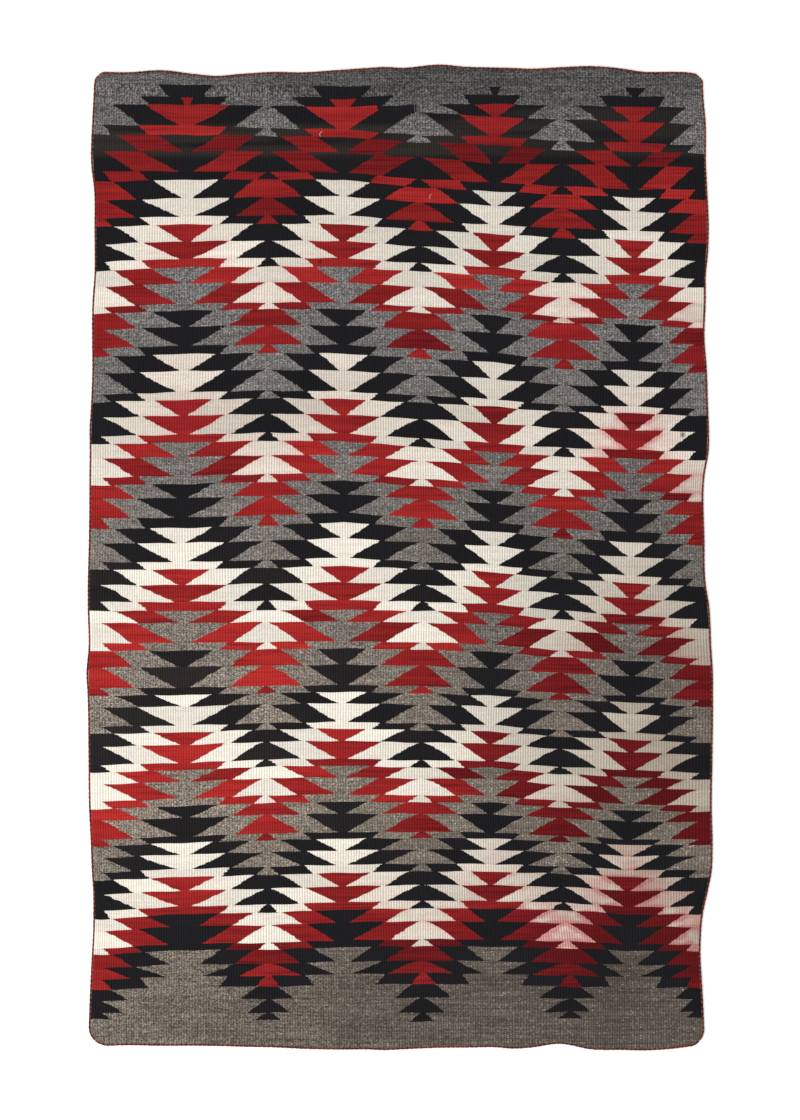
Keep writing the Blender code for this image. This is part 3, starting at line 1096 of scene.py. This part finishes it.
def grid_faces(lines, across, first=0, over=False):
    """List the four-sided faces of a grid of points, seen from above, or from below."""
    numbers = first + np.arange(lines * across).reshape(lines, across)
    corners = [numbers[:-1, :-1], numbers[1:, :-1], numbers[1:, 1:], numbers[:-1, 1:]]
    if over:
        corners.reverse()
    return np.stack(corners, axis=-1).reshape(-1, 4)


def make_mesh(name, points, faces, maps, materials, face_materials=None):
    """Make a smooth mesh object from points, groups of like faces, and each corner's place on the maps."""
    mesh = bpy.data.meshes.new(name)
    sizes = np.concatenate([np.full(len(group), group.shape[1]) for group in faces])
    corners = np.concatenate([group.ravel() for group in faces])
    mesh.vertices.add(len(points))
    mesh.vertices.foreach_set("co", np.asarray(points, np.float32).ravel())
    mesh.loops.add(len(corners))
    mesh.loops.foreach_set("vertex_index", corners.astype(np.int32))
    mesh.polygons.add(len(sizes))
    mesh.polygons.foreach_set("loop_start", (np.cumsum(sizes) - sizes).astype(np.int32))
    mesh.polygons.foreach_set("use_smooth", np.ones(len(sizes), bool))
    for material in materials:
        mesh.materials.append(material)
    if face_materials is not None:
        mesh.polygons.foreach_set("material_index", np.asarray(face_materials, np.int32))
    mesh.update(calc_edges=True)
    for map_name, values in maps.items():
        layer = mesh.uv_layers.new(name=map_name)
        flat = np.concatenate([np.asarray(group, np.float32).reshape(-1) for group in values])
        layer.uv.foreach_set("vector", flat)
    mesh.validate()
    piece = bpy.data.objects.new(name, mesh)
    bpy.context.scene.collection.objects.link(piece)
    return piece


def spread_flat(points, low, high):
    """Give points their place on the flat map that the whole cloth fills."""
    margin = 0.01
    return margin + (1.0 - 2.0 * margin) * (points[..., :2] - low) / (high - low)


def pattern_maps(grid, rib_profile, weave, over=False):
    """Give each face corner its column and row, its rib, its floats of weft, and its place across the rib."""
    _, rows = weft_strips()
    steps = len(rib_profile)
    ribs = np.arange(RIB_COUNT)
    lines = grid[:, ::steps, 1][:, :-1]
    heights = np.maximum(lines[:-1] - lines[1:], weave.float_length)
    spans = (rows[:, 1] - rows[:, 0])[:, None]
    floats = np.repeat(heights / weave.float_length / spans, steps, axis=1)
    segments = RIB_COUNT * steps
    shares = [share for share, _ in rib_profile] + [1.0]
    left = np.tile(shares[:-1], RIB_COUNT)
    right = np.tile(shares[1:], RIB_COUNT)
    rib_numbers = np.repeat(ribs, steps)
    middles = column_places(rib_numbers + 0.5)
    low_columns = 2.0 * np.round(middles / 2.0)
    high_columns = 2.0 * np.round((middles - 1.0) / 2.0) + 1.0
    strips = len(rows)
    chart = np.zeros((strips, segments, 4, 2))
    chart[:, :, (0, 1), 0] = column_places(rib_numbers + left)[None, :, None]
    chart[:, :, (2, 3), 0] = column_places(rib_numbers + right)[None, :, None]
    chart[:, :, (0, 3), 1] = rows[:, 0][:, None, None]
    chart[:, :, (1, 2), 1] = rows[:, 1][:, None, None]
    first_rows(chart, rows, low_columns)
    split_and_narrow_rows(chart, rows)
    wide_rows(chart, rows, low_columns)
    last_rows(chart, rows, high_columns)
    yarn = np.zeros_like(chart)
    yarn[..., 0] = rib_numbers[None, :, None]
    yarn[..., 1] = floats[:, :, None]
    bead = np.zeros_like(chart)
    bead[:, :, (0, 1), 0] = left[None, :, None]
    bead[:, :, (2, 3), 0] = right[None, :, None]
    bead[..., 1] = chart[..., 1]
    maps = {"Chart": chart, "Yarn": yarn, "Bead": bead}
    if over:
        maps = {name: values[:, :, ::-1] for name, values in maps.items()}
    return {name: values.reshape(-1, 4, 2) for name, values in maps.items()}


def rim_faces(upper, lower):
    """Join the two faces of the cloth round its rim: quads at the sides, and triangles at the ends."""
    left = np.stack([upper[:-1, 0], lower[:-1, 0], lower[1:, 0], upper[1:, 0]], axis=-1)
    right = np.stack([upper[1:, -1], lower[1:, -1], lower[:-1, -1], upper[:-1, -1]], axis=-1)
    ends = []
    for line in (0, -1):
        high = [upper[line, start::3] for start in range(3)]
        low = [lower[line, start::2] for start in range(2)]
        t0, t1, t2, t3 = high[0][:-1], high[1], high[2], high[0][1:]
        u0, u1, u2 = low[0][:-1], low[1], low[0][1:]
        triangles = np.stack([
            np.stack(corners, axis=-1)
            for corners in ((t0, t1, u0), (t1, u1, u0), (t1, t2, u1), (t2, u2, u1), (t2, t3, u2))
        ], axis=1)
        ends.append(triangles if line == 0 else triangles[..., ::-1])
    return left, right, ends


def rim_maps(rows):
    """Give the rim's face corners their places on the pattern's maps: the two sides, then the two ends."""
    side_rows = np.stack([rows[:, 0], rows[:, 0], rows[:, 1], rows[:, 1]], axis=1)
    end_ribs = np.repeat(np.arange(RIB_COUNT), RIM_TRIANGLES)[:, None] * np.ones((1, 3))
    places = [
        (np.zeros_like(side_rows), side_rows),
        (np.full_like(side_rows, RIB_COUNT - 1), side_rows[:, ::-1]),
    ]
    places += [(end_ribs, np.full_like(end_ribs, row)) for row in RIM_ROWS]
    return {
        "Chart": [np.stack([column_places(ribs + 0.5), at_rows], axis=-1) for ribs, at_rows in places],
        "Yarn": [np.stack([ribs, np.full_like(ribs, RIM_FLOATS)], axis=-1) for ribs, _ in places],
        "Bead": [np.stack([np.full_like(ribs, 0.5), at_rows], axis=-1) for ribs, at_rows in places],
    }


def weave_field(weave, material):
    """Build the whole cloth as one closed mesh."""
    upper = cloth_grid(UPPER_RIB, UPPER_EDGE, weave)
    lower = cloth_grid(LOWER_RIB, LOWER_EDGE, weave)
    lines, upper_across, lower_across = upper.shape[0], upper.shape[1], lower.shape[1]
    points = np.concatenate([upper.reshape(-1, 3), lower.reshape(-1, 3)])
    first_lower = lines * upper_across
    upper_numbers = np.arange(first_lower).reshape(lines, upper_across)
    lower_numbers = first_lower + np.arange(lines * lower_across).reshape(lines, lower_across)
    left, right, ends = rim_faces(upper_numbers, lower_numbers)
    ends = [end.reshape(-1, 3) for end in ends]
    faces = [
        grid_faces(lines, upper_across),
        grid_faces(lines, lower_across, first_lower, over=True),
        left, right, *ends,
    ]
    upper_maps = pattern_maps(upper, UPPER_RIB, weave)
    lower_maps = pattern_maps(lower, LOWER_RIB, weave, over=True)
    rims = rim_maps(weft_strips()[1])
    maps = {name: [upper_maps[name], lower_maps[name], *rims[name]] for name in upper_maps}
    low, high = points[:, :2].min(axis=0), points[:, :2].max(axis=0)
    flat = spread_flat(points, low, high)
    pushed = flat.copy()
    step = 0.003  # keeps the rim's faces from being slivers on the flat map
    pushed[lower_numbers[:, 0], 0] -= step
    pushed[lower_numbers[:, -1], 0] += step
    pushed[lower_numbers[0], 1] += step
    pushed[lower_numbers[-1], 1] -= step
    bake = [flat[group] for group in faces[:2]] + [pushed[group] for group in faces[2:]]
    maps = {"OFBake": bake, **maps}
    return make_mesh("woven_field_dressed", points, faces, maps, [material])


def cord_route(edge, spacing):
    """Give the middle line of one selvage cord, which hugs the cloth's edge."""
    length = FIELD_LENGTH if edge in ("left", "right") else FIELD_WIDTH
    along = np.linspace(0.0, length, int(length / spacing) + 1)
    fixed = {"left": 0.0, "right": FIELD_WIDTH, "bottom": 0.0, "top": FIELD_LENGTH}[edge]
    still = np.full_like(along, fixed)
    x, y = cloth_point(still, along) if edge in ("left", "right") else cloth_point(along, still)
    line = np.stack([x, y], axis=1)
    tangent = np.gradient(line, axis=0)
    tangent /= np.linalg.norm(tangent, axis=1, keepdims=True)
    outward = np.stack([tangent[:, 1], -tangent[:, 0]], axis=1) * OUTWARD[edge]
    reach = CORD_DIAMETER / 2 + CLEARANCE
    line = line + outward * reach
    return np.column_stack([line, np.full(len(line), reach)]), np.column_stack([outward, np.zeros(len(line))])


def round_ring(outward, sides):
    """Give rings of points round a line, one unit across from its middle, in the planes that it crosses."""
    turns = 2 * math.pi * np.arange(sides) / sides
    up = np.array([0.0, 0.0, 1.0])
    return np.cos(turns)[None, :, None] * outward[:, None, :] + np.sin(turns)[None, :, None] * up


def ply_tube(route, outward, start_turn, cords, seed):
    """Twist one ply round a cord's middle line, as rings of points."""
    chance = np.random.default_rng(seed)
    steps = np.linalg.norm(np.diff(route, axis=0), axis=1)
    travelled = np.concatenate([[0.0], np.cumsum(steps)])
    knot_spacing = 2 * cords.twist_pitch
    knots = np.arange(0.0, travelled[-1] + knot_spacing, knot_spacing)
    slip = np.interp(travelled, knots, chance.uniform(-0.5, 0.5, len(knots)))
    swell = np.interp(travelled, knots, chance.uniform(0.88, 1.08, len(knots)))
    turn = 2 * math.pi * travelled / cords.twist_pitch + start_turn + slip
    up = np.array([0.0, 0.0, 1.0])
    off_middle = CORD_DIAMETER / 2 - cords.ply_radius
    middle = route + off_middle * (np.cos(turn)[:, None] * outward + np.sin(turn)[:, None] * up)
    from_end = np.minimum(travelled, travelled[-1] - travelled)
    taper = np.sqrt(np.clip(from_end / (2 * cords.ply_radius), 0.02, 1.0))
    radius = cords.ply_radius * swell * taper
    return middle[:, None, :] + radius[:, None, None] * round_ring(outward, cords.sides)


def tube_faces(rings, sides, first):
    """List the side faces of a tube of rings."""
    numbers = first + np.arange(rings * sides).reshape(rings, sides)
    following = np.roll(numbers, -1, axis=1)
    corners = [numbers[:-1], following[:-1], following[1:], numbers[1:]]
    return np.stack(corners, axis=-1).reshape(-1, 4)


def folded_map(rings, sides, rows, first_row, row_count):
    """Fold a long tube's skin into rows, and give each face's corners their place on them."""
    per_row = math.ceil((rings - 1) / rows)
    ring = np.arange(rings - 1)
    row = first_row + ring // per_row
    start = (ring % per_row) / per_row
    left, right = 0.005 + 0.99 * start, 0.005 + 0.99 * (start + 1.0 / per_row)
    side = np.arange(sides)
    places = np.zeros((rings - 1, sides, 4, 2))
    places[:, :, (0, 1), 0] = left[:, None, None]
    places[:, :, (2, 3), 0] = right[:, None, None]
    low = (row[:, None] + 0.06 + 0.88 * side / sides) / row_count
    high = (row[:, None] + 0.06 + 0.88 * (side + 1) / sides) / row_count
    places[:, :, (0, 3), 1] = low[:, :, None]
    places[:, :, (1, 2), 1] = high[:, :, None]
    return places.reshape(-1, 4, 2)


def close_tube(first, rings, sides):
    """List the two end faces of a tube."""
    near = first + np.arange(sides)[::-1]
    far = first + (rings - 1) * sides + np.arange(sides)
    return np.stack([near, far])


def tubes_mesh(name, tubes, rows, materials):
    """Make one mesh of several closed tubes, each in its own material."""
    points, faces, places, kinds = [], [], [], []
    first = 0
    for number, tube in enumerate(tubes):
        rings, sides = tube.shape[:2]
        points.append(tube.reshape(-1, 3))
        skin = tube_faces(rings, sides, first)
        faces.append(skin)
        places.append(folded_map(rings, sides, rows, number * rows, rows * len(tubes)))
        kinds.append(np.full(len(skin), number % len(materials)))
        first += rings * sides
    first = 0
    for number, tube in enumerate(tubes):
        rings, sides = tube.shape[:2]
        faces.append(close_tube(first, rings, sides))
        spot = np.array([0.997, (number * rows + 0.5) / (rows * len(tubes))])
        turn = 2 * math.pi * np.arange(sides) / sides
        fan = spot + 0.002 * np.stack([np.cos(turn), np.sin(turn)], axis=1)
        places.append(np.stack([fan, fan]))
        kinds.append(np.full(2, number % len(materials)))
        first += rings * sides
    maps = {"OFBake": places}
    return make_mesh(name, np.concatenate(points), faces, maps, materials, np.concatenate(kinds))


def twist_cord(edge, cords, materials):
    """Build one selvage cord of two plies, one of each colour."""
    route, outward = cord_route(edge, CORD_SPACING)
    seed = 10 * sorted(OUTWARD).index(edge)
    tubes = [
        ply_tube(route, outward, start_turn, cords, seed + ply)
        for ply, start_turn in enumerate((0.0, math.pi))
    ]
    rows = 12 if edge in ("left", "right") else 8
    return tubes_mesh(edge + "_cord_plies", tubes, rows, materials)


def fibre_line(chance, across, up, length, turn):
    """Give the points of one loose fibre, bent and slightly wavy, on the cloth."""
    share = np.linspace(-0.5, 0.5, FIBRE_POINTS)
    bend = chance.uniform(0.15, 0.35) * length * np.sin(math.pi * (share + 0.5))
    wave = 0.05 * length * np.sin(share * chance.uniform(9.0, 14.0) + chance.uniform(0.0, 6.0))
    angle = math.radians(turn)
    along, aside = share * length * MM, (bend + wave) * MM
    x, y = cloth_point(across * MM, up * MM)
    x = x + along * math.cos(angle) - aside * math.sin(angle)
    y = y + along * math.sin(angle) + aside * math.cos(angle)
    return np.stack([x, y, np.full_like(x, FIBRE_HEIGHT)], axis=1)


def strew_lint(material):
    """Lay the loose pale fibres on the cloth, each a fine wavy tube."""
    chance = np.random.default_rng(31)
    tubes = []
    for fibre in FIBRES:
        line = fibre_line(chance, *fibre)
        tangent = np.gradient(line, axis=0)
        tangent /= np.linalg.norm(tangent, axis=1, keepdims=True)
        outward = np.stack([tangent[:, 1], -tangent[:, 0], np.zeros(len(line))], axis=1)
        tubes.append(line[:, None, :] + FIBRE_RADIUS * round_ring(outward, FIBRE_SIDES))
    return tubes_mesh("loose_fibres", tubes, 1, [material])


def effect(name):
    """Return a shared effect, which is built the first time."""
    builders = {"Serrate zigzag": serrate_group, "Wool fibres": wool_group}
    if name not in bpy.data.node_groups:
        builders[name]()
    return bpy.data.node_groups[name]


def finish_piece(piece, stands_for=()):
    """Tie a piece to the frame: it rides on the rug, and may stand for hidden nodes."""
    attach(piece, "root")
    if stands_for:
        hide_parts(*stands_for)


def colour_property(name, description, red, green, blue):
    """Make a colour property with a default given as a screen colour."""
    return FloatVectorProperty(
        name=name, description=description, default=linear(red, green, blue),
        size=4, min=0.0, max=1.0, subtype="COLOR",
    )


def length_property(name, description, default):
    """Make a length property."""
    return FloatProperty(
        name=name, description=description, default=default, min=0.0, unit="LENGTH", precision=5,
    )


def amount_property(name, description, default, most):
    """Make a property for a plain amount from 0 up."""
    return FloatProperty(name=name, description=description, default=default, min=0.0, max=most)


class RugColours(bpy.types.PropertyGroup):
    """Colours of the dyed and natural yarns."""

    red: colour_property("Red", "Dyed red yarn", 158, 34, 36)
    red_bright: colour_property("Bright red", "Stronger red in some dye lots", 196, 50, 45)
    red_dark: colour_property("Dark red", "Deeper red and its dark streaks", 98, 16, 21)
    black: colour_property("Black", "Dyed blue-black yarn", 27, 26, 29)
    # Used for the faded black, and for painted light on the black low on the left
    brown_black: colour_property("Brown black", "Black yarn that has faded to brown", 51, 46, 43)
    grey_cool: colour_property("Cool grey", "Carded grey wool, upper half", 172, 169, 168)
    grey_warm: colour_property("Warm grey", "Carded grey wool, lower half", 176, 161, 144)
    grey_dark: colour_property("Dark grey", "The dark fibres in the carded grey", 76, 71, 68)
    ivory: colour_property("Ivory", "Undyed ivory wool", 250, 242, 228)
    # The grey tint of the painted shade on the ivory
    painted_ivory_shade_tint: colour_property("Soiling", "What soiling leaves of the ivory's colour", 176, 168, 160)
    pink: colour_property("Run dye", "Ivory that has taken up red dye", 236, 168, 163)
    cord_red: colour_property("Cord red", "Brick red ply of the selvage cord", 164, 44, 28)
    cord_brown: colour_property("Cord brown", "Brown ply of the selvage cord", 112, 58, 34)
    cord_shade: colour_property("Cord shade", "Dark patches of the brown ply", 58, 36, 26)
    lint: colour_property("Lint", "Loose pale fibres", 240, 238, 232)


class RugWeave(bpy.types.PropertyGroup):
    """Sizes of the weave."""

    float_length: length_property("Float length", "How far each weft float runs along its rib", 1.1 * MM)
    wander: length_property("Wander", "How far the ribs wander sideways", 0.6 * MM)
    swell: length_property("Swell", "Height of the cloth's slow swells", 0.8 * MM)
    unevenness: amount_property("Unevenness", "How far a row's slants are off, in columns", 0.07, 0.3)
    raggedness: amount_property("Raggedness", "How much a slant wavers from rib to rib", 0.06, 0.3)
    waver: length_property("Waver", "How far the lines between rows waver", 0.8 * MM)
    motif_contrast: amount_property("Step contrast", "How much the tone differs from step to step", 0.20, 1.0)
    # Painted shade in the grooves between the ribs
    painted_groove_shade: amount_property("Groove shade", "How much darker the grooves between ribs are", 0.36, 1.0)


class RugCords(bpy.types.PropertyGroup):
    """Sizes of the selvage cords."""

    ply_radius: length_property("Ply radius", "Radius of each of the two plies", 1.15 * MM)
    twist_pitch: length_property("Twist pitch", "Length of one full turn of a ply", 15.0 * MM)
    sides: IntProperty(name="Sides", description="Flat sides round each ply", default=6, min=3, max=16)


class RugStage(bpy.types.PropertyGroup):
    """Camera, lights and floor."""

    lens: FloatProperty(
        name="Lens", description="Focal length in millimetres", default=85.0, min=10.0, unit="CAMERA",
    )
    framed_height: length_property("Framed height", "Length of floor that the picture's height covers", 1.824)
    floor: colour_property("Floor", "Plain pale floor", 236, 236, 234)
    floor_glow: amount_property("Floor glow", "How much the floor shines by itself", 0.3, 10.0)
    sky: amount_property("Sky", "Strength of the light from all round", 0.55, 10.0)
    key: amount_property("Key", "Power of the main light in watts", 95.0, 10000.0)
    fill: amount_property("Fill", "Power of the second light in watts", 30.0, 10000.0)


class RUG_OT_weave_cloth(bpy.types.Operator):
    """Weave the ribbed cloth with its serrated zigzags"""

    bl_idname = "rug.weave_cloth"
    bl_label = "Weave the cloth"

    def execute(self, context):
        scene = context.scene
        effect("Serrate zigzag")
        effect("Wool fibres")
        material = woven_material(scene.rug_colours, scene.rug_weave)
        cloth = weave_field(scene.rug_weave, material)
        finish_piece(cloth, ("woven_field",))
        return {"FINISHED"}


class RUG_OT_twist_cords(bpy.types.Operator):
    """Twist the four two-ply selvage cords round the edges"""

    bl_idname = "rug.twist_cords"
    bl_label = "Twist the selvage cords"

    def execute(self, context):
        scene = context.scene
        colours = scene.rug_colours
        effect("Wool fibres")
        materials = [
            ply_material("cord_red_wool", tuple(colours.cord_red), tuple(colours.red_dark)),
            ply_material("cord_brown_wool", tuple(colours.cord_brown), tuple(colours.cord_shade)),
        ]
        for edge, node in CORD_NODES.items():
            finish_piece(twist_cord(edge, scene.rug_cords, materials), (node,))
        return {"FINISHED"}


class RUG_OT_strew_lint(bpy.types.Operator):
    """Lay a few loose pale fibres on the cloth"""

    bl_idname = "rug.strew_lint"
    bl_label = "Lay the loose fibres"

    def execute(self, context):
        colour = tuple(context.scene.rug_colours.lint)
        effect("Wool fibres")
        lint = strew_lint(ply_material("pale_lint", colour, colour))
        finish_piece(lint)
        return {"FINISHED"}


class RUG_OT_set_stage(bpy.types.Operator):
    """Lay the floor, and set the camera straight above and the lights"""

    bl_idname = "rug.set_stage"
    bl_label = "Set the stage"

    def execute(self, context):
        scene = context.scene
        settings = scene.rug_stage
        lay_floor(settings)
        set_camera(scene, settings)
        set_lights(scene, settings)
        return {"FINISHED"}


class RUG_PT_panel(bpy.types.Panel):
    """The rug's sizes, colours and operators"""

    bl_label = "Rug"
    bl_idname = "RUG_PT_panel"
    bl_space_type = "VIEW_3D"
    bl_region_type = "UI"
    bl_category = "Rug"

    def draw(self, context):
        layout = self.layout
        for operator in OPERATORS:
            layout.operator(operator.bl_idname)
        for name, group in SETTINGS.items():
            box = layout.box()
            box.label(text=group.__doc__)
            for key in group.__annotations__:
                box.prop(getattr(context.scene, name), key)


def lay_floor(settings):
    """Lay a plain pale floor under the rug."""
    bpy.ops.mesh.primitive_plane_add(size=FLOOR_SIZE)
    floor = bpy.context.active_object
    floor.name = "floor"
    material = bpy.data.materials.new("plain_floor")
    material.use_nodes = True
    shader = material.node_tree.nodes["Principled BSDF"]
    shader.inputs["Base Color"].default_value = tuple(settings.floor)
    shader.inputs["Roughness"].default_value = 0.9
    shader.inputs["Specular IOR Level"].default_value = 0.2
    shader.inputs["Emission Color"].default_value = tuple(settings.floor)
    shader.inputs["Emission Strength"].default_value = settings.floor_glow
    floor.data.materials.append(material)


def set_camera(scene, settings):
    """Hang the camera straight above the rug, with the rug's top at the top of the picture."""
    camera = bpy.data.cameras.new("camera")
    camera.lens = settings.lens
    camera.sensor_width = 36.0
    holder = bpy.data.objects.new("camera", camera)
    scene.collection.objects.link(holder)
    distance = settings.framed_height * camera.lens / camera.sensor_width
    across, up, above = CAMERA_OFFSET
    holder.location = (across, up, distance + above)
    scene.camera = holder


def add_area_light(scene, name, place, size, power):
    """Add a square area light that points at the rug's middle."""
    light = bpy.data.lights.new(name, "AREA")
    light.size = size
    light.energy = power
    holder = bpy.data.objects.new(name, light)
    holder.location = place
    holder.rotation_euler = (-Vector(place)).to_track_quat("-Z", "Y").to_euler()
    scene.collection.objects.link(holder)


def set_lights(scene, settings):
    """Light the rug softly from all round, and more from its lower left."""
    world = bpy.data.worlds.new("soft_sky")
    world.use_nodes = True
    world.node_tree.nodes["Background"].inputs["Strength"].default_value = settings.sky
    world.node_tree.nodes["Background"].inputs["Color"].default_value = (1.0, 1.0, 1.0, 1.0)
    scene.world = world
    add_area_light(scene, "key_light", (-2.2, -1.6, 2.6), 1.6, settings.key)
    add_area_light(scene, "fill_light", (2.0, 2.0, 3.0), 2.0, settings.fill)
    scene.view_settings.view_transform = "Standard"


SETTINGS = {
    "rug_colours": RugColours,
    "rug_weave": RugWeave,
    "rug_cords": RugCords,
    "rug_stage": RugStage,
}
OPERATORS = (RUG_OT_weave_cloth, RUG_OT_twist_cords, RUG_OT_strew_lint, RUG_OT_set_stage)


def register():
    """Register the settings, the operators and the panel."""
    for name, group in SETTINGS.items():
        bpy.utils.register_class(group)
        setattr(bpy.types.Scene, name, PointerProperty(type=group))
    for operator in OPERATORS:
        bpy.utils.register_class(operator)
    bpy.utils.register_class(RUG_PT_panel)


def unregister():
    """Take away what register added."""
    bpy.utils.unregister_class(RUG_PT_panel)
    for operator in reversed(OPERATORS):
        bpy.utils.unregister_class(operator)
    for name, group in reversed(SETTINGS.items()):
        delattr(bpy.types.Scene, name)
        bpy.utils.unregister_class(group)


def main():
    register()
    bpy.ops.rug.weave_cloth()
    bpy.ops.rug.twist_cords()
    bpy.ops.rug.strew_lint()
    bpy.ops.rug.set_stage()


if __name__ == "__main__":
    main()
